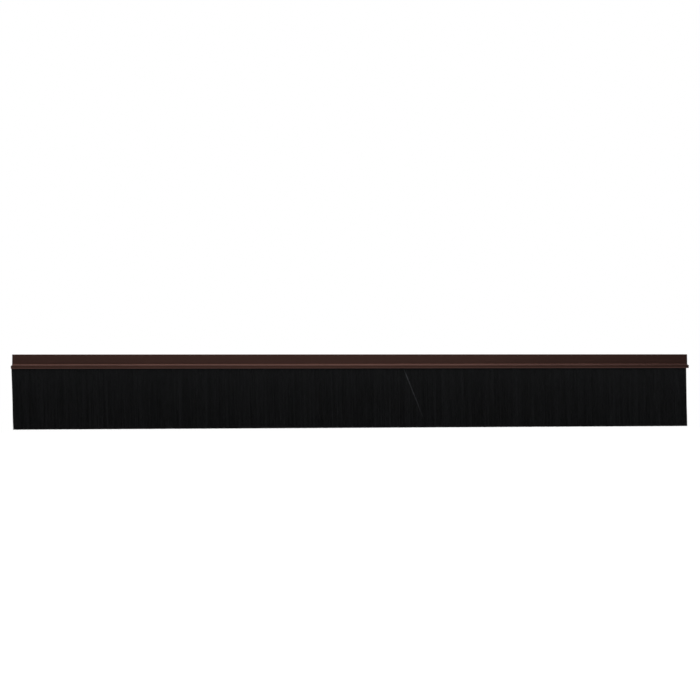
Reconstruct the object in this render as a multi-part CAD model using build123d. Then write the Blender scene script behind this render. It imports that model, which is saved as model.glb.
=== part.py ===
from build123d import *
import math
import os

# Brush door sweep: an extruded aluminium holder with a flat flange that is fixed to the face of
# a door, and a strip brush that slides into the channel along the flange's lower edge.
# Millimetres. X runs along the door's width, Y into the door, Z up.
# The origin is the centre of the holder's flat back face, which lies in the plane Y = 0.

# Holder extrusion
HOLDER_LENGTH = 914.4
HOLDER_HEIGHT = 19.05
FLANGE_THICKNESS = 1.6
BACK_WALL = 1.6
FRONT_WALL = 1.35
CROWN_WALL = 0.82
COVE_RISE = 2.1
NOSE_CORNER_RADIUS = 0.35
TOE_RADIUS = 1.5
FLANGE_EDGE_RADIUS = 0.3
LIP_THICKNESS = 0.9

# Strip brush: a U-folded steel backing crimped over filaments that are doubled round a core wire
INSERT_SHORTFALL = 2.2
INSERT_OFFSET = -1.4
BACKING_WIDTH = 3.175
BACKING_HEIGHT = 2.85
BACKING_SHEET = 0.4
CORE_WIRE_DIAMETER = 0.9
BRISTLE_LENGTH = 80.2
ROOT_THICKNESS = 1.8
TIP_THICKNESS = 5.6
GROUP_COUNT = 18

# Clearances
SLIDE_SIDE_CLEARANCE = 0.08
SLIDE_TOP_CLEARANCE = 0.12
SLIDE_FLOOR_CLEARANCE = 0.08
SLOT_CLEARANCE = 0.3
CLAMP_CLEARANCE = 0.02
GROUP_GAP = 0.4
ROOT_GAP = 0.1

# The bristles bend about a line just under the holder. It lies low enough for their rounded
# roots to turn by this much either way without touching the holder's lips.
BEND_LIMIT_DEG = 55.0
LIP_MARGIN = 0.12

# Worked out from the sizes above
TOP = HOLDER_HEIGHT / 2
UNDERSIDE = -HOLDER_HEIGHT / 2
CAVITY_WIDTH = BACKING_WIDTH + 2 * SLIDE_SIDE_CLEARANCE
NOSE_DEPTH = BACK_WALL + CAVITY_WIDTH + FRONT_WALL
CHANNEL_Y = -(BACK_WALL + CAVITY_WIDTH / 2)
CAVITY_FLOOR = UNDERSIDE + LIP_THICKNESS
BACKING_MOUTH = CAVITY_FLOOR + SLIDE_FLOOR_CLEARANCE
BACKING_TOP = BACKING_MOUTH + BACKING_HEIGHT
CAVITY_CEILING = BACKING_TOP + SLIDE_TOP_CLEARANCE
COVE_RUN = NOSE_DEPTH - FLANGE_THICKNESS
SLOT_WIDTH = ROOT_THICKNESS + 2 * SLOT_CLEARANCE
BACKING_BORE = BACKING_WIDTH - 2 * BACKING_SHEET
WIRE_Z = BACKING_TOP - BACKING_WIDTH / 2
ROOT_RADIUS = ROOT_THICKNESS / 2
PIVOT_Z = UNDERSIDE - ROOT_RADIUS * math.sin(math.radians(BEND_LIMIT_DEG)) - LIP_MARGIN
TIP_Z = UNDERSIDE - BRISTLE_LENGTH
INSERT_LENGTH = HOLDER_LENGTH - INSERT_SHORTFALL
GROUP_PITCH = INSERT_LENGTH / GROUP_COUNT


def extrusion(profile, length, centre_x=0.0):
    """A profile drawn in the YZ plane, extruded along X about centre_x."""
    return Pos(centre_x, 0, 0) * extrude(Plane.YZ * profile, amount=length / 2, both=True)


def arch(width, top, bottom):
    """A slot shape that stands on end: straight sides from bottom, a half round at the top."""
    spring = top - width / 2
    outline = Polyline(
        (-width / 2, spring),
        (-width / 2, bottom),
        (width / 2, bottom),
        (width / 2, spring),
    )
    crown = ThreePointArc((width / 2, spring), (0, top), (-width / 2, spring))
    return Pos(CHANNEL_Y, 0) * make_face(outline + crown)


def rectangle(width, top, bottom):
    """An upright rectangle centred on the channel."""
    return Pos(CHANNEL_Y, (top + bottom) / 2) * Rectangle(width, top - bottom)


def holder_profile():
    """Flat flange above, then a cove that swells out to the nose holding the brush channel.

    The cove is a quarter of an ellipse. Its height over the channel's axis sets the nose's top,
    so that the wall over the channel's crown keeps its thickness."""
    out_from_nose = (NOSE_DEPTH + CHANNEL_Y) / COVE_RUN
    cove_over_crown = COVE_RISE * (1 - math.sqrt(1 - out_from_nose**2))
    nose_top = CAVITY_CEILING + CROWN_WALL - cove_over_crown
    cove_top = nose_top + COVE_RISE
    toe = UNDERSIDE + TOE_RADIUS
    turned = TOE_RADIUS * math.sqrt(0.5)
    upper = Polyline((0, UNDERSIDE), (0, TOP), (-FLANGE_THICKNESS, TOP), (-FLANGE_THICKNESS, cove_top))
    cove = EllipticalCenterArc(
        center=(-NOSE_DEPTH, cove_top),
        x_radius=COVE_RUN,
        y_radius=COVE_RISE,
        start_angle=-90,
        arc_size=90,
    )
    front = Line((-NOSE_DEPTH, nose_top), (-NOSE_DEPTH, toe))
    toe_round = ThreePointArc(
        (-NOSE_DEPTH, toe),
        (-NOSE_DEPTH + TOE_RADIUS - turned, toe - turned),
        (-NOSE_DEPTH + TOE_RADIUS, UNDERSIDE),
    )
    base = Line((-NOSE_DEPTH + TOE_RADIUS, UNDERSIDE), (0, UNDERSIDE))
    outline = make_face(upper + cove + front + toe_round + base)
    top_corners = outline.vertices().filter_by(lambda v: abs(v.Y - TOP) < 1e-6)
    outline = fillet(top_corners, FLANGE_EDGE_RADIUS)
    nose_corner = outline.vertices().sort_by_distance((-NOSE_DEPTH, nose_top))[0]
    outline = fillet(nose_corner, NOSE_CORNER_RADIUS)
    cavity = arch(CAVITY_WIDTH, CAVITY_CEILING, CAVITY_FLOOR)
    slot = rectangle(SLOT_WIDTH, CAVITY_FLOOR + SLOT_WIDTH / 2, UNDERSIDE - SLOT_WIDTH)
    return outline - cavity - slot


def backing_profile():
    """Steel strip folded into a U, open downwards."""
    outside = arch(BACKING_WIDTH, BACKING_TOP, BACKING_MOUTH)
    inside = arch(BACKING_BORE, BACKING_TOP - BACKING_SHEET, BACKING_MOUTH - BACKING_SHEET)
    return outside - inside


def fold_profile():
    """The filaments' folded middles: over the core wire, down both sides, and out of the slot."""
    bore_width = BACKING_BORE - 2 * CLAMP_CLEARANCE
    inside_backing = arch(bore_width, BACKING_TOP - BACKING_SHEET - CLAMP_CLEARANCE, BACKING_MOUTH)
    neck_end = PIVOT_Z + ROOT_RADIUS + ROOT_GAP
    neck = rectangle(ROOT_THICKNESS, BACKING_MOUTH + ROOT_THICKNESS / 2, neck_end)
    wire_hole = Pos(CHANNEL_Y, WIRE_Z) * Circle(CORE_WIRE_DIAMETER / 2 + CLAMP_CLEARANCE)
    return inside_backing + neck - wire_hole


def bristle_profile():
    """A hanging sheet of bristles, rounded at the bend line and thicker towards the tips."""
    sides = Polyline(
        (ROOT_RADIUS, PIVOT_Z),
        (TIP_THICKNESS / 2, TIP_Z),
        (-TIP_THICKNESS / 2, TIP_Z),
        (-ROOT_RADIUS, PIVOT_Z),
    )
    root = ThreePointArc((-ROOT_RADIUS, PIVOT_Z), (0, PIVOT_Z + ROOT_RADIUS), (ROOT_RADIUS, PIVOT_Z))
    return Pos(CHANNEL_Y, 0) * make_face(sides + root)


def bristle_group(number):
    """One of the equal lengths of the bristle curtain, counted from the left-hand end."""
    centre_x = INSERT_OFFSET + (number - (GROUP_COUNT + 1) / 2) * GROUP_PITCH
    return extrusion(bristle_profile(), GROUP_PITCH - GROUP_GAP, centre_x)


nodes = {
    "holder_rail": extrusion(holder_profile(), HOLDER_LENGTH),
    "backing_channel": extrusion(backing_profile(), INSERT_LENGTH, INSERT_OFFSET),
    "core_wire": extrusion(
        Pos(CHANNEL_Y, WIRE_Z) * Circle(CORE_WIRE_DIAMETER / 2), INSERT_LENGTH, INSERT_OFFSET
    ),
    "bristle_fold": extrusion(fold_profile(), INSERT_LENGTH, INSERT_OFFSET),
}
for number in range(1, GROUP_COUNT + 1):
    nodes[f"bristle_group_{number:02d}"] = bristle_group(number)

os.makedirs("parts", exist_ok=True)
for name, solid in nodes.items():
    export_step(solid, f"parts/{name}.step")
print("bend line at y =", round(CHANNEL_Y, 3), "z =", round(PIVOT_Z, 3))
print("nose depth", round(NOSE_DEPTH, 3), "bristle tips at z =", round(TIP_Z, 3))
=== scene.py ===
import math

import bmesh
import bpy
import numpy as np
from mathutils import Euler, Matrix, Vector


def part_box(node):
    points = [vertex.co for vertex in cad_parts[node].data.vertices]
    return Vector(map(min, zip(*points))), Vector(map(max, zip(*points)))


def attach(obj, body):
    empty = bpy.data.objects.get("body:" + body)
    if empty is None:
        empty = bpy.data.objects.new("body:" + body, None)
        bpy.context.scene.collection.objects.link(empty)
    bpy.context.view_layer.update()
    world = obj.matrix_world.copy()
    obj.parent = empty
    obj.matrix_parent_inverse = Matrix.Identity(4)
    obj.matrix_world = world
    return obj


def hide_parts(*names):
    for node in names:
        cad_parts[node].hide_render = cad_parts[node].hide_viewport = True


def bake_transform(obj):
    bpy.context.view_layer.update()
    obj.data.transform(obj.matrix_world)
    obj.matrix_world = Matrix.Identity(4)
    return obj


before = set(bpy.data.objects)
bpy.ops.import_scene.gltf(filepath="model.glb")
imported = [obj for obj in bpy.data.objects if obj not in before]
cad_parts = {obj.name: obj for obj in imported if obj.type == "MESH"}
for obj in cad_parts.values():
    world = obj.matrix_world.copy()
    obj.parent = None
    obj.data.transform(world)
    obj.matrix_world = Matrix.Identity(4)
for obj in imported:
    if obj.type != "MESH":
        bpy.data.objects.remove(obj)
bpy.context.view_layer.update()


# ---------------------------------------------------------------------------------------------
# Holder rail. One aluminium extrusion: a flat flange that lies on the door's face, a cove that
# swells out to a rounded nose, and a C-shaped channel inside the nose, open along the underside.
# It is dark bronze anodised, sawn to length afterwards, and the sawn edges are deburred.
# ---------------------------------------------------------------------------------------------

MM = 0.001

rail_low, rail_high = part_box("holder_rail")
backing_low, backing_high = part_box("backing_channel")
channel_y = (backing_low.y + backing_high.y) / 2

FLANGE_THICKNESS = 1.6 * MM
FLANGE_EDGE_RADIUS = 0.3 * MM
CROWN_WALL = 0.82 * MM
COVE_RISE = 2.1 * MM
NOSE_CORNER_RADIUS = 0.35 * MM
TOE_RADIUS = 1.5 * MM
LIP_THICKNESS = 0.9 * MM
LIP_EDGE_RADIUS = 0.12 * MM
SLOT_HALF_WIDTH = 1.2 * MM
SIDE_CLEARANCE = 0.08 * MM
TOP_CLEARANCE = 0.12 * MM
DEBURR = 0.12 * MM
RAIL_STATIONS = 25
CORNER_LIMIT = 1.5
SHARP_CORNER = 32.0


def arc(centre, radii, start, sweep, steps):
    """Points along part of an ellipse in the YZ plane. Angles are in degrees from +Y towards +Z."""
    angles = np.radians(np.linspace(start, start + sweep, steps + 1))
    return [(centre[0] + radii[0] * math.cos(a), centre[1] + radii[1] * math.sin(a)) for a in angles]


def rail_section():
    """The extrusion's outline as (y, z) points, once round, from the back of the flange's top."""
    top = rail_high.z
    underside = rail_low.z
    front = rail_low.y
    edge = FLANGE_EDGE_RADIUS
    lip = LIP_EDGE_RADIUS
    near = channel_y - SLOT_HALF_WIDTH
    far = channel_y + SLOT_HALF_WIDTH
    floor_z = underside + LIP_THICKNESS
    half = (backing_high.y - backing_low.y) / 2 + SIDE_CLEARANCE
    ceiling = backing_high.z + TOP_CLEARANCE
    spring = ceiling - half
    cove_run = -FLANGE_THICKNESS - front
    over_crown = COVE_RISE * (1 - math.sqrt(1 - ((channel_y - front) / cove_run) ** 2))
    nose_top = ceiling + CROWN_WALL - over_crown
    corner = NOSE_CORNER_RADIUS
    cove = arc((front, nose_top + COVE_RISE), (cove_run, COVE_RISE), 0, -90, 22)
    outline = arc((-edge, top - edge), (edge, edge), 0, 90, 4)
    outline += arc((edge - FLANGE_THICKNESS, top - edge), (edge, edge), 90, 90, 4)
    outline += [p for p in cove if p[0] > front + corner]
    outline += arc((front + corner, nose_top - corner), (corner, corner), 90, 90, 5)
    outline += arc((front + TOE_RADIUS, underside + TOE_RADIUS), (TOE_RADIUS, TOE_RADIUS), 180, 90, 12)
    outline += arc((near - lip, underside + lip), (lip, lip), 270, 90, 3)
    outline += arc((near - lip, floor_z - lip), (lip, lip), 0, 90, 3)
    outline += [(channel_y - half, floor_z)]
    outline += arc((channel_y, spring), (half, half), 180, -180, 20)
    outline += [(channel_y + half, floor_z)]
    outline += arc((far + lip, floor_z - lip), (lip, lip), 90, 90, 3)
    outline += arc((far + lip, underside + lip), (lip, lip), 180, 90, 3)
    outline += arc((-edge, underside + edge), (edge, edge), 270, 90, 4)
    return np.array(outline)


def inset(outline, distance):
    """The outline moved towards its own material by a distance, for a deburred end."""
    before = outline - np.roll(outline, 1, axis=0)
    after = np.roll(outline, -1, axis=0) - outline
    before /= np.linalg.norm(before, axis=1, keepdims=True)
    after /= np.linalg.norm(after, axis=1, keepdims=True)
    normals = np.stack([-before[:, 1] - after[:, 1], before[:, 0] + after[:, 0]], axis=1)
    lengths = np.linalg.norm(normals, axis=1, keepdims=True)
    return outline + normals / lengths * distance * np.minimum(2 / lengths, CORNER_LIMIT)


def swept(name, sections, stations, cap_slot=0):
    """A closed bar: each (y, z) section stands at its own x, joined in turn and capped at both ends."""
    mesh = bpy.data.meshes.new(name)
    shape = bmesh.new()
    rings = [[shape.verts.new((x, y, z)) for y, z in s] for s, x in zip(sections, stations)]
    count = len(sections[0])
    for one, two in zip(rings, rings[1:]):
        for i in range(count):
            j = (i + 1) % count
            shape.faces.new((one[i], one[j], two[j], two[i]))
    caps = [shape.faces.new(rings[0][::-1]), shape.faces.new(rings[-1])]
    for cap in caps:
        cap.material_index = cap_slot
    bmesh.ops.triangulate(shape, faces=caps, ngon_method="EAR_CLIP")
    bmesh.ops.recalc_face_normals(shape, faces=shape.faces)
    shape.to_mesh(mesh)
    shape.free()
    mesh.shade_smooth()
    mesh.set_sharp_from_angle(angle=math.radians(SHARP_CORNER))
    piece = bpy.data.objects.new(name, mesh)
    bpy.context.scene.collection.objects.link(piece)
    return piece


rail_outline = rail_section()
rail_ends = inset(rail_outline, DEBURR)
rail_stations = np.linspace(rail_low.x + DEBURR, rail_high.x - DEBURR, RAIL_STATIONS)
rail = swept(
    "anodised_rail",
    [rail_ends] + [rail_outline] * len(rail_stations) + [rail_ends],
    [rail_low.x, *rail_stations, rail_high.x],
    cap_slot=1,
)


class Shade:
    """A shader socket. Arithmetic on it adds Math nodes, and node() adds any other node."""

    def __init__(self, tree, socket=None):
        self.tree = tree
        self.socket = socket

    def node(self, kind, settings=None, inputs=None, output=0):
        """Adds a node, sets it up, fills its sockets with values or links, and gives one output."""
        made = self.tree.nodes.new(kind)
        for key, value in (settings or {}).items():
            setattr(made, key, value)
        for key, value in (inputs or {}).items():
            if isinstance(value, Shade):
                self.tree.links.new(value.socket, made.inputs[key])
            else:
                made.inputs[key].default_value = value
        return Shade(self.tree, made.outputs[output] if made.outputs else None)

    def maths(self, operation, first, second):
        """One Math node on two values or sockets."""
        return self.node("ShaderNodeMath", {"operation": operation}, {0: first, 1: second})

    def __add__(self, other):
        return self.maths("ADD", self, other)

    def __radd__(self, other):
        return self.maths("ADD", other, self)

    def __mul__(self, other):
        return self.maths("MULTIPLY", self, other)

    def __rmul__(self, other):
        return self.maths("MULTIPLY", other, self)


def new_finish(name):
    """An empty material and the Shade that adds its nodes."""
    material = bpy.data.materials.new(name)
    material.use_nodes = True
    material.node_tree.nodes.clear()
    return material, Shade(material.node_tree)


def place(shade, scale):
    """The surface's own place in the object, stretched by a scale along each axis."""
    here = shade.node("ShaderNodeTexCoord", output="Object")
    return shade.node("ShaderNodeVectorMath", {"operation": "MULTIPLY"}, {0: here, 1: scale})


def noise(shade, scale, detail=2.0, roughness=0.5):
    """Cloudy noise from 0 to 1 with a number of waves to the metre along each axis."""
    return shade.node(
        "ShaderNodeTexNoise",
        {},
        {"Vector": place(shade, scale), "Scale": 1.0, "Detail": detail, "Roughness": roughness},
    )


def blend_colours(shade, amount, one, two):
    """One colour where the amount is 0, the other where it is 1, and on past it above 1."""
    return shade.node(
        "ShaderNodeMix",
        {"data_type": "RGBA", "clamp_factor": False},
        {0: amount, 6: one, 7: two},
        output=2,
    )


def surface(shade, inputs):
    """A Principled surface wired to the material's output."""
    skin = shade.node("ShaderNodeBsdfPrincipled", {}, inputs)
    shade.node("ShaderNodeOutputMaterial", {}, {"Surface": skin})


BRONZE = (0.127, 0.062, 0.049, 1.0)
DEEP_BRONZE = (0.087, 0.0435, 0.035, 1.0)
DIE_LINES = (1.5, 1400.0, 1400.0)
BROAD_LINES = (0.8, 260.0, 260.0)
DYE_CLOUDS = (9.0, 60.0, 60.0)
DIE_LINE_DEPTH = 0.012 * MM
SATIN = 0.33


def bronze_anodising():
    """Satin anodised skin: colour and gloss drift a little along the dye bath, and fine die lines
    run the length of the extrusion."""
    material, shade = new_finish("bronze_anodising")
    fine = noise(shade, DIE_LINES, 3.0, 0.6)
    broad = noise(shade, BROAD_LINES, 2.0)
    clouds = noise(shade, DYE_CLOUDS, 3.0)
    tone = broad * 0.45 + clouds * 0.55
    colour = blend_colours(shade, tone, DEEP_BRONZE, BRONZE)
    rough = SATIN + fine * 0.1 + clouds * 0.08
    lines = shade.node(
        "ShaderNodeBump", {}, {"Strength": 0.35, "Distance": DIE_LINE_DEPTH, "Height": fine + broad * 0.7}
    )
    surface(shade, {"Base Color": colour, "Roughness": rough, "Metallic": 0.85, "Normal": lines})
    return material


SAWN_BRIGHT = (0.62, 0.62, 0.63, 1.0)
SAWN_DULL = (0.4, 0.4, 0.41, 1.0)
NO_STRETCH = (1.0, 1.0, 1.0)
BLADE_ARCS = 900.0
SAW_SMEAR = (300.0, 300.0, 300.0)
BLADE_ARC_DEPTH = 0.01 * MM
SAWN_ROUGHNESS = 0.32


def sawn_aluminium():
    """Bare metal of the sawn ends, with the blade's fine arcs across it."""
    material, shade = new_finish("sawn_aluminium")
    arcs = shade.node(
        "ShaderNodeTexWave",
        {"wave_type": "RINGS", "rings_direction": "X"},
        {"Vector": place(shade, NO_STRETCH), "Scale": BLADE_ARCS, "Distortion": 3.0, "Detail": 2.0},
        output="Fac",
    )
    smear = noise(shade, SAW_SMEAR)
    colour = blend_colours(shade, smear * 0.7 + arcs * 0.3, SAWN_DULL, SAWN_BRIGHT)
    rough = SAWN_ROUGHNESS + smear * 0.2
    marks = shade.node("ShaderNodeBump", {}, {"Strength": 0.4, "Distance": BLADE_ARC_DEPTH, "Height": arcs})
    surface(shade, {"Base Color": colour, "Roughness": rough, "Metallic": 1.0, "Normal": marks})
    return material


rail.data.materials.append(bronze_anodising())
rail.data.materials.append(sawn_aluminium())
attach(rail, "holder")
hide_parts("holder_rail")


# ---------------------------------------------------------------------------------------------
# Backing channel. Galvanised steel strip folded into a U with a round back, and rolled shut on
# the doubled filaments, which leaves a row of shallow roll marks along both sides. It is sheared
# to length and slides in the rail's channel.
# ---------------------------------------------------------------------------------------------

BACKING_SHEET = 0.4 * MM
ROLL_MARK_PITCH = 4.5 * MM
ROLL_MARK_DEPTH = 0.05 * MM
ROLL_STATIONS_PER_MARK = 4
MOUTH_SQUEEZE = 0.5


def backing_section(squeeze):
    """The folded strip's outline, with its two legs pressed in by a small amount."""
    half = (backing_high.y - backing_low.y) / 2
    spring = backing_high.z - half
    bore = half - BACKING_SHEET
    round_edge = BACKING_SHEET / 2
    mouth = backing_low.z + round_edge
    leg = half - round_edge
    pressed = squeeze * MOUTH_SQUEEZE
    outline = arc((channel_y, spring), (half, half), 0, 180, 16)
    outline += [(channel_y - half + squeeze, (spring + mouth) / 2)]
    outline += arc((channel_y - leg + pressed, mouth), (round_edge, round_edge), 180, 180, 4)
    outline += [(channel_y - bore + squeeze, (spring + mouth) / 2)]
    outline += arc((channel_y, spring), (bore, bore), 180, -180, 16)
    outline += [(channel_y + bore - squeeze, (spring + mouth) / 2)]
    outline += arc((channel_y + leg - pressed, mouth), (round_edge, round_edge), 180, 180, 4)
    outline += [(channel_y + half - squeeze, (spring + mouth) / 2)]
    return np.array(outline)


mark_count = round((backing_high.x - backing_low.x) / ROLL_MARK_PITCH)
backing_stations = np.linspace(backing_low.x, backing_high.x, mark_count * ROLL_STATIONS_PER_MARK + 1)
backing_sections = [
    backing_section(ROLL_MARK_DEPTH * math.sin(math.pi * i / ROLL_STATIONS_PER_MARK) ** 2)
    for i in range(len(backing_stations))
]
backing = swept("steel_backing", backing_sections, backing_stations)

ZINC_LIGHT = (0.5, 0.51, 0.53, 1.0)
ZINC_DARK = (0.3, 0.31, 0.33, 1.0)
SPANGLE = (320.0, 420.0, 420.0)
DULL_PATCHES = (60.0, 90.0, 90.0)
ZINC_GRAIN = (2600.0, 2600.0, 2600.0)
ZINC_GRAIN_DEPTH = 0.01 * MM
ZINC_ROUGHNESS = 0.3


def galvanising():
    """Zinc spangle: small crystals of slightly different grey and gloss, with dull patches."""
    material, shade = new_finish("galvanising")
    spangle = shade.node(
        "ShaderNodeTexVoronoi",
        {"feature": "F1"},
        {"Vector": place(shade, SPANGLE), "Scale": 1.0},
        output="Color",
    )
    crystal = shade.node("ShaderNodeSeparateColor", {}, {"Color": spangle})
    dull = noise(shade, DULL_PATCHES, 4.0, 0.6)
    grain = noise(shade, ZINC_GRAIN, 2.0)
    colour = blend_colours(shade, crystal * 0.6 + dull * 0.4, ZINC_DARK, ZINC_LIGHT)
    rough = ZINC_ROUGHNESS + crystal * 0.14 + dull * 0.22
    skin = shade.node(
        "ShaderNodeBump", {}, {"Strength": 0.3, "Distance": ZINC_GRAIN_DEPTH, "Height": grain + crystal}
    )
    surface(shade, {"Base Color": colour, "Roughness": rough, "Metallic": 1.0, "Normal": skin})
    return material


backing.data.materials.append(galvanising())
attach(backing, "brush_insert")
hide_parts("backing_channel")


# ---------------------------------------------------------------------------------------------
# Core wire. Drawn steel wire that the filaments are doubled over before the backing is folded
# round them. It runs the length of the backing and is nipped off with it.
# ---------------------------------------------------------------------------------------------

wire_low, wire_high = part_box("core_wire")
wire_y = (wire_low.y + wire_high.y) / 2
wire_z = (wire_low.z + wire_high.z) / 2
wire_radius = (wire_high.z - wire_low.z) / 2
NIP_LENGTH = 0.2 * MM
NIP_TAPER = 0.8
WIRE_SIDES = 24
WIRE_STATIONS = 41

nip_radius = wire_radius * NIP_TAPER
wire_turn = 360 - 360 / WIRE_SIDES
wire_round = np.array(arc((wire_y, wire_z), (wire_radius, wire_radius), 0, wire_turn, WIRE_SIDES - 1))
wire_nip = np.array(arc((wire_y, wire_z), (nip_radius, nip_radius), 0, wire_turn, WIRE_SIDES - 1))
wire_stations = np.linspace(wire_low.x + NIP_LENGTH, wire_high.x - NIP_LENGTH, WIRE_STATIONS)
wire = swept(
    "core_wire_drawn",
    [wire_nip] + [wire_round] * len(wire_stations) + [wire_nip],
    [wire_low.x, *wire_stations, wire_high.x],
)

STEEL_LIGHT = (0.46, 0.45, 0.44, 1.0)
STEEL_DARK = (0.24, 0.235, 0.23, 1.0)
DRAWING_SCRATCHES = (40.0, 6000.0, 6000.0)
SOAP_FILM = (160.0, 700.0, 700.0)
SCRATCH_DEPTH = 0.008 * MM
DRAWN_ROUGHNESS = 0.28


def drawn_steel():
    """Plain drawn wire: fine scratches along its length and a thin uneven film of drawing soap."""
    material, shade = new_finish("drawn_steel")
    scratches = noise(shade, DRAWING_SCRATCHES, 2.0)
    film = noise(shade, SOAP_FILM, 3.0)
    colour = blend_colours(shade, scratches * 0.5 + film * 0.5, STEEL_DARK, STEEL_LIGHT)
    rough = DRAWN_ROUGHNESS + film * 0.2
    drawn = shade.node(
        "ShaderNodeBump", {}, {"Strength": 0.3, "Distance": SCRATCH_DEPTH, "Height": scratches}
    )
    surface(shade, {"Base Color": colour, "Roughness": rough, "Metallic": 1.0, "Normal": drawn})
    return material


wire.data.materials.append(drawn_steel())
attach(wire, "brush_insert")
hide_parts("core_wire")


# ---------------------------------------------------------------------------------------------
# Folded filaments. The middles of the nylon filaments, doubled over the core wire and squeezed
# together by the backing. The last few at each end show as separate loops, and the rest are
# packed so tightly that they make one ribbed mass.
# ---------------------------------------------------------------------------------------------

FILAMENT_RADIUS = 0.17 * MM
FILAMENT_SIDES = 5
LOOP_PITCH = 0.36 * MM
LOOPS_PER_END = 8
SHARP_CUT = 80.0
LOOP_TONES = (0.2, 0.7)
LOOP_INSET = FILAMENT_RADIUS * 1.2
LOOP_LAYER = FILAMENT_RADIUS * 2.05
FOLD_HEIGHT = 0.3 * MM
MASS_HALF_WIDTH = 1.08 * MM
MASS_RIB = 0.05 * MM
MASS_RIBS = 700
WIRE_FIT = 0.02 * MM

fold_low, fold_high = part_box("bristle_fold")
fold_end = backing_low.z + FOLD_HEIGHT


def strands(name, paths, radius, tones):
    """Many filaments as one mesh: a round rod along each path, cut square at both ends. A tone for
    each point of each path is kept with the mesh, for the nylon's colour, and on the curtain also
    for the light and shade painted into it."""
    count, rings = paths.shape[:2]
    along = np.gradient(paths, axis=1)
    along /= np.linalg.norm(along, axis=2, keepdims=True)
    side = np.cross(along, np.array([1.0, 0.0, 0.0]))
    side /= np.linalg.norm(side, axis=2, keepdims=True)
    other = np.cross(side, along)
    start = np.random.default_rng(count).uniform(0, 2 * math.pi, count)
    angles = start[:, None] + np.arange(FILAMENT_SIDES) * 2 * math.pi / FILAMENT_SIDES
    ring = (
        np.cos(angles)[:, None, :, None] * other[:, :, None, :]
        + np.sin(angles)[:, None, :, None] * side[:, :, None, :]
    )
    points = (paths[:, :, None, :] + radius * ring).reshape(-1, 3)
    first = np.arange(count)[:, None, None] * rings * FILAMENT_SIDES
    turn = np.arange(FILAMENT_SIDES)[None, None, :]
    after = (turn + 1) % FILAMENT_SIDES
    low = first + np.arange(rings - 1)[None, :, None] * FILAMENT_SIDES
    high = low + FILAMENT_SIDES
    walls = np.stack([low + turn, high + turn, high + after, low + after], axis=-1).reshape(-1, 4)
    opening = first[:, 0] + turn[0]
    closing = (opening + (rings - 1) * FILAMENT_SIDES)[:, ::-1]
    mesh = bpy.data.meshes.new(name)
    mesh.from_pydata(points.tolist(), [], walls.tolist() + opening.tolist() + closing.tolist())
    mesh.shade_smooth()
    mesh.set_sharp_from_angle(angle=math.radians(SHARP_CUT))
    kept = mesh.attributes.new("tone", "FLOAT", "POINT")
    kept.data.foreach_set("value", np.repeat(tones.ravel(), FILAMENT_SIDES).astype(np.float32))
    piece = bpy.data.objects.new(name, mesh)
    bpy.context.scene.collection.objects.link(piece)
    return piece


def loop_path(x, over):
    """A filament's way over the core wire: up one side, over the top, and down the other."""
    legs = np.linspace(fold_end, wire_z, 3)[:-1]
    up = [(channel_y + over, z) for z in legs]
    crown = arc((wire_y, wire_z), (over, over), 0, 180, 8)
    down = [(channel_y - over, z) for z in legs[::-1]]
    return [(x, y, z) for y, z in up + crown + down]


nearest = np.arange(LOOPS_PER_END) * LOOP_PITCH + LOOP_INSET
inner_over = wire_radius + FILAMENT_RADIUS
outer_over = inner_over + LOOP_LAYER
loop_paths = np.array(
    [
        loop_path(x, over)
        for over, stagger in ((inner_over, 0), (outer_over, LOOP_PITCH / 2))
        for x in [*(fold_low.x + nearest + stagger), *(fold_high.x - nearest - stagger)]
    ]
)
loop_tones = np.linspace(*LOOP_TONES, len(loop_paths))[:, None] * np.ones(loop_paths.shape[1])
loops = strands("folded_filament_loops", loop_paths, FILAMENT_RADIUS, loop_tones)


def mass_section(swell):
    """The squeezed filaments' outline: an arch over the wire whose two legs meet under it."""
    half = MASS_HALF_WIDTH + swell
    bore = wire_radius + WIRE_FIT
    meet = math.degrees(math.asin(WIRE_FIT / bore))
    outline = [(channel_y + half, fold_end)]
    outline += arc((wire_y, wire_z), (half, half), 0, 180, 12)
    outline += [(channel_y - half, fold_end), (channel_y - WIRE_FIT, fold_end)]
    outline += arc((wire_y, wire_z), (bore, bore), 270 - meet, 2 * meet - 360, 12)
    outline += [(channel_y + WIRE_FIT, fold_end)]
    return np.array(outline)


mass_reach = nearest[-1] + LOOP_PITCH
mass = swept(
    "folded_filament_mass",
    [mass_section(MASS_RIB * (i % 2)) for i in range(MASS_RIBS)],
    np.linspace(fold_low.x + mass_reach, fold_high.x - mass_reach, MASS_RIBS),
)

NYLON = (0.0038, 0.0041, 0.0048, 1.0)
NYLON_WORN_AND_LIT = (0.018, 0.019, 0.021, 1.0)
NYLON_SCUFFS = (900.0, 900.0, 120.0)
NYLON_ROUGHNESS = 0.42
NYLON_SHINE = 0.25


def black_nylon():
    """Extruded black nylon: slightly glossy, each filament a little lighter or darker than the
    next, with faint scuffs along it. Its tone also carries painted light, lighter towards the
    roots and darker towards the tips, and painted shade of the clumps."""
    material, shade = new_finish("black_nylon_filament")
    tone = shade.node("ShaderNodeAttribute", {"attribute_name": "tone"}, output="Fac")
    scuffs = noise(shade, NYLON_SCUFFS, 2.0)
    # The tone holds painted light and painted clump shade as well as each filament's own tone; the scuffs
    # are wear.
    colour = blend_colours(shade, tone * (0.6 + scuffs * 0.8), NYLON, NYLON_WORN_AND_LIT)
    rough = NYLON_ROUGHNESS + scuffs * 0.16
    surface(shade, {"Base Color": colour, "Roughness": rough, "Specular IOR Level": NYLON_SHINE})
    return material


nylon = black_nylon()
for piece in (loops, mass):
    piece.data.materials.append(nylon)
    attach(piece, "brush_insert")
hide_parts("bristle_fold")


# ---------------------------------------------------------------------------------------------
# Bristle curtain. Long black nylon filaments that come down out of the backing, spread a little
# and gather into loose clumps towards their ends, which are trimmed straight. The curtain is
# made as separate lengths, side by side.
# ---------------------------------------------------------------------------------------------

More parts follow.
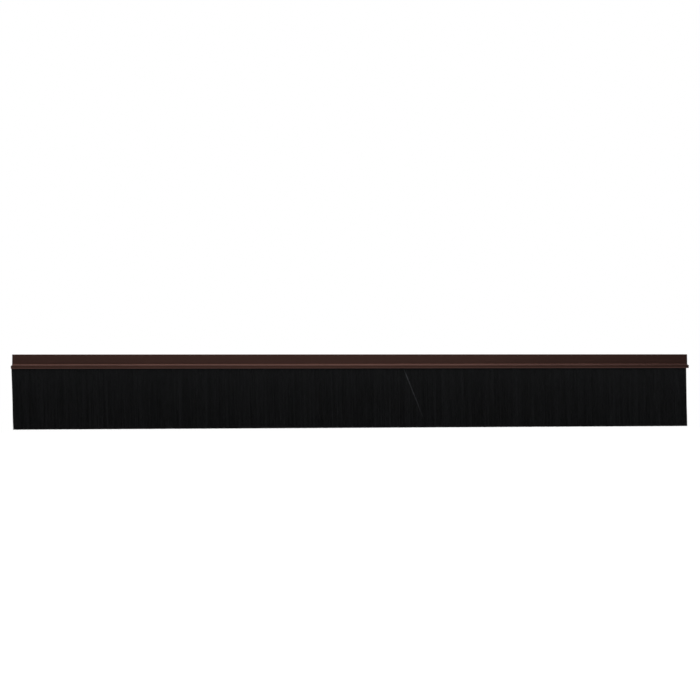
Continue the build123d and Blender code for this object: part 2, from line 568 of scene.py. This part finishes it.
GROUPS = 18
LEVELS = (0.0, 0.08, 0.2, 0.34, 0.5, 0.66, 0.82, 1.0)
SEED = 36
ROWS = 6
CORE_ROWS = (2, 3)
CORE_COLUMNS = 190
OUTER_COLUMNS = 90
ROW_PITCH = 0.27 * MM
CORE_JITTER = 0.015 * MM
ROOT_JITTER = 0.06 * MM
SPREAD = 1.9
LEAN_LEFT = 2.8 * MM
LEAN_RIGHT = 1.05 * MM
CLUMP_WIDTHS = (1.6 * MM, 7.0 * MM)
CLUMP_PULL = (0.15, 0.6)
CLUMP_SWAY = 0.55 * MM
OWN_WANDER = 0.45 * MM
PULL_CURVE = 1.6
SWAY_CURVE = 2
BULGE_CURVE = 1.5
WANDER_CURVE = 1.3
FULL_SPREAD = 2.6 * MM
OWN_TONE = 0.5
# Painted shade of the clumps: all the filaments of a clump are made lighter or darker together.
CLUMP_PAINTED_SHADE = 0.4
MEAN_TONE = 0.45
# Painted light along each filament: its tone is raised near the roots and falls away to dark at the tips.
ROOT_PAINTED_LIGHT = 1.3
TIP_PAINTED_LIGHT = 0.05
# How far tones spread from the mean, root to tip: each filament's random tone, and the painted clump shade
# that grows towards the tips.
ROOT_CONTRAST = 0.5
TIP_CONTRAST = 1.7
TRIM_UNEVEN = 0.25 * MM
ROW_STAGGER = (0.75, 0.25)

tip_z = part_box("bristle_group_01")[0].z
group_pitch = (fold_high.x - fold_low.x) / GROUPS
root_z = rail_low.z
levels = np.array(LEVELS)
# Painted light: a factor on each filament's tone, light at the root and dark at the tip.
painted_light_along = np.array([ROOT_PAINTED_LIGHT, *(ROOT_PAINTED_LIGHT + (TIP_PAINTED_LIGHT - ROOT_PAINTED_LIGHT) * levels)])
# Painted clump shade, stronger towards the tips, together with each filament's own random tone.
tone_and_painted_shade_contrast = np.array([ROOT_CONTRAST, *(ROOT_CONTRAST + (TIP_CONTRAST - ROOT_CONTRAST) * levels)])
curtain = np.random.default_rng(SEED)


def clump_layer():
    """Clumps along one face of the curtain: where each is centred, how strongly it gathers its
    filaments, and how far it hangs out of line."""
    widths = curtain.uniform(*CLUMP_WIDTHS, int((fold_high.x - fold_low.x) / CLUMP_WIDTHS[0]))
    centres = fold_low.x - CLUMP_WIDTHS[1] + np.cumsum(widths)
    count = len(centres)
    return {
        "centre": centres,
        "pull": curtain.uniform(*CLUMP_PULL, count),
        "sway_x": curtain.normal(0, CLUMP_SWAY, count),
        "sway_y": curtain.normal(0, CLUMP_SWAY, count),
        # The clump's painted shade, not a colour of its own.
        "tone": curtain.uniform(0, 1, count),
    }


layers = [clump_layer() for row in range(ROWS)]


def bristle_paths(number):
    """The filaments of one length of the curtain, with their tones, which hold painted light and
    shade. The two core rows are close set and hang straight, so no light comes through between
    the livelier rows outside them."""
    left = fold_low.x + (number - 1) * group_pitch
    t = levels[None, :]
    paths = []
    tones = []
    for row, layer in enumerate(layers):
        core = row in CORE_ROWS
        count = CORE_COLUMNS if core else OUTER_COLUMNS
        jitter = CORE_JITTER if core else ROOT_JITTER
        ease = 0.0 if core else 1.0
        x0 = left + (np.arange(count) + ROW_STAGGER[row % 2]) * group_pitch / count
        x0 = x0 + curtain.uniform(-1, 1, count) * jitter
        y0 = (row - (ROWS - 1) / 2) * ROW_PITCH + curtain.uniform(-1, 1, count) * jitter
        clump = np.abs(x0[:, None] - layer["centre"][None, :]).argmin(axis=1)
        share = (x0 - fold_low.x) / (fold_high.x - fold_low.x)
        lean = LEAN_LEFT + (LEAN_RIGHT - LEAN_LEFT) * share
        pull = (layer["centre"][clump] - x0) * layer["pull"][clump] * ease
        sway_x = layer["sway_x"][clump] * ease
        sway_y = layer["sway_y"][clump] * ease
        wander_x = curtain.normal(0, OWN_WANDER, count) * ease
        wander_y = curtain.normal(0, OWN_WANDER, count) * ease
        uneven = curtain.uniform(0, TRIM_UNEVEN, count)
        x = x0[:, None] + pull[:, None] * t**PULL_CURVE + sway_x[:, None] * t**SWAY_CURVE
        x = x + wander_x[:, None] * t**WANDER_CURVE
        x = np.clip(x, fold_low.x + FILAMENT_RADIUS, fold_high.x - FILAMENT_RADIUS) + lean[:, None] * t
        y = y0[:, None] * (1 + SPREAD * ease * t) + sway_y[:, None] * t**BULGE_CURVE
        y = y + wander_y[:, None] * t**WANDER_CURVE
        y = FULL_SPREAD * np.tanh(y / FULL_SPREAD)
        z = root_z + (tip_z + uneven - root_z)[:, None] * t
        down = np.stack([x, y + channel_y, z], axis=2)
        top = np.stack([x[:, 0], y0 + channel_y, np.full(count, fold_end)], axis=1)[:, None, :]
        paths.append(np.concatenate([top, down], axis=1))
        # Each filament's own random tone plus its clump's painted shade.
        own = curtain.uniform(0, OWN_TONE, count) + layer["tone"][clump] * CLUMP_PAINTED_SHADE
        # Painted light, lighter at the roots and darker at the tips, with random tone and painted clump
        # shade round it.
        tone = MEAN_TONE * painted_light_along + (own[:, None] - MEAN_TONE) * tone_and_painted_shade_contrast
        tones.append(np.maximum(0, tone))
    return np.concatenate(paths), np.concatenate(tones)


STRAYS = 3
STRAY_LEAN = 7.0 * MM
LONG_STRAY_START = 62.0 * MM
LONG_STRAY_LEAN = 32.0 * MM
LONG_STRAY_TONE = 13.0
STRAY_TONES = (0.3, 1.0)
STRAY_MARGIN = 0.15
STRAY_ROOT = 0.4 * MM
STRAY_BULGE = 1.4 * MM


def stray_paths(number):
    """A few filaments of one length that have sprung out of line: each comes out of the curtain's
    front below the rail, crosses the others, and goes in again towards the tips."""
    left = fold_low.x + (number - 1) * group_pitch
    x0 = left + curtain.uniform(STRAY_MARGIN, 1 - STRAY_MARGIN, STRAYS) * group_pitch
    lean = curtain.normal(0, STRAY_LEAN, STRAYS)
    tones = curtain.uniform(*STRAY_TONES, STRAYS)
    if left < LONG_STRAY_START < left + group_pitch:
        x0[0] = LONG_STRAY_START
        lean[0] = LONG_STRAY_LEAN
        tones[0] = LONG_STRAY_TONE
    t = levels[None, :]
    x = x0[:, None] + lean[:, None] * t
    y = np.tile(channel_y - STRAY_ROOT - STRAY_BULGE * np.sin(math.pi * t), (STRAYS, 1))
    z = np.tile(root_z + (tip_z - root_z) * t, (STRAYS, 1))
    down = np.stack([x, y, z], axis=2)
    top = np.stack([x0, y[:, 0], np.full(STRAYS, fold_end)], axis=1)[:, None, :]
    # The strays get the same painted light, lighter at the roots and darker at the tips.
    return np.concatenate([top, down], axis=1), tones[:, None] * painted_light_along


for number in range(1, GROUPS + 1):
    paths, tones = bristle_paths(number)
    crossing, crossing_tones = stray_paths(number)
    filaments = strands(
        f"bristles_{number:02d}_filaments",
        np.concatenate([paths, crossing]),
        FILAMENT_RADIUS,
        np.concatenate([tones, crossing_tones]),
    )
    filaments.data.materials.append(nylon)
    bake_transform(filaments)
    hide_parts(f"bristle_group_{number:02d}")


# ---------------------------------------------------------------------------------------------
# Studio. A plain white floor some way below, a white room round it, and soft lights: a strong one
# overhead, weaker ones from all four sides, and a low one for the light off the floor.
# ---------------------------------------------------------------------------------------------

FLOOR_Z = -0.75
FLOOR_HALF = 6.0
FLOOR_WHITE = (0.85, 0.85, 0.85, 1.0)
FLOOR_ROUGHNESS = 0.9
FLOOR_GLOW = 1.1
WHITE = (1.0, 1.0, 1.0, 1.0)

floor_mesh = bpy.data.meshes.new("studio_floor")
floor_corners = [
    (-FLOOR_HALF, -FLOOR_HALF, FLOOR_Z),
    (FLOOR_HALF, -FLOOR_HALF, FLOOR_Z),
    (FLOOR_HALF, FLOOR_HALF, FLOOR_Z),
    (-FLOOR_HALF, FLOOR_HALF, FLOOR_Z),
]
floor_mesh.from_pydata(floor_corners, [], [(0, 1, 2, 3)])
floor = bpy.data.objects.new("studio_floor", floor_mesh)
bpy.context.scene.collection.objects.link(floor)
floor.visible_glossy = False
floor.visible_diffuse = False
floor_paint, shade = new_finish("studio_floor_paint")
surface(
    shade,
    {
        "Base Color": FLOOR_WHITE,
        "Roughness": FLOOR_ROUGHNESS,
        "Emission Color": WHITE,
        "Emission Strength": FLOOR_GLOW,
    },
)
floor_mesh.materials.append(floor_paint)

room = bpy.data.worlds.new("white_room")
bpy.context.scene.world = room
room.use_nodes = True
room.node_tree.nodes["Background"].inputs["Color"].default_value = WHITE
room.node_tree.nodes["Background"].inputs["Strength"].default_value = 1.0
room.cycles_visibility.diffuse = False
room.cycles_visibility.glossy = False


def softbox(name, position, size, power):
    """A rectangular soft light, turned towards the middle of the sweep's rail."""
    lamp = bpy.data.lights.new(name, "AREA")
    lamp.shape = "RECTANGLE"
    lamp.size, lamp.size_y = size
    lamp.energy = power
    stand = bpy.data.objects.new(name, lamp)
    stand.location = position
    stand.rotation_euler = (-Vector(position)).to_track_quat("-Z", "Y").to_euler()
    bpy.context.scene.collection.objects.link(stand)


softbox("overhead_light", (-0.15, -0.3, 1.6), (2.4, 1.6), 36.0)
softbox("front_light", (-0.2, -2.4, 0.5), (3.0, 2.0), 5.0)
softbox("back_light", (0.4, 2.2, 0.7), (2.6, 1.6), 20.0)
softbox("left_light", (-2.3, -0.3, 0.4), (1.4, 1.4), 4.0)
softbox("right_light", (2.3, -0.3, 0.4), (1.4, 1.4), 4.0)
softbox("floor_light", (0.0, -0.5, -0.7), (2.5, 1.2), 8.0)

CAMERA_PLACE = (-0.0641, -1.010, 0.0154)
CAMERA_TURN = -3.043
CAMERA_LENS = 38.41

lens = bpy.data.cameras.new("camera")
lens.lens = CAMERA_LENS
lens.sensor_width = 36.0
camera = bpy.data.objects.new("camera", lens)
camera.location = CAMERA_PLACE
camera.rotation_euler = Euler((math.radians(90), 0, math.radians(CAMERA_TURN)))
bpy.context.scene.collection.objects.link(camera)
bpy.context.scene.camera = camera
bpy.context.scene.view_settings.view_transform = "Standard"
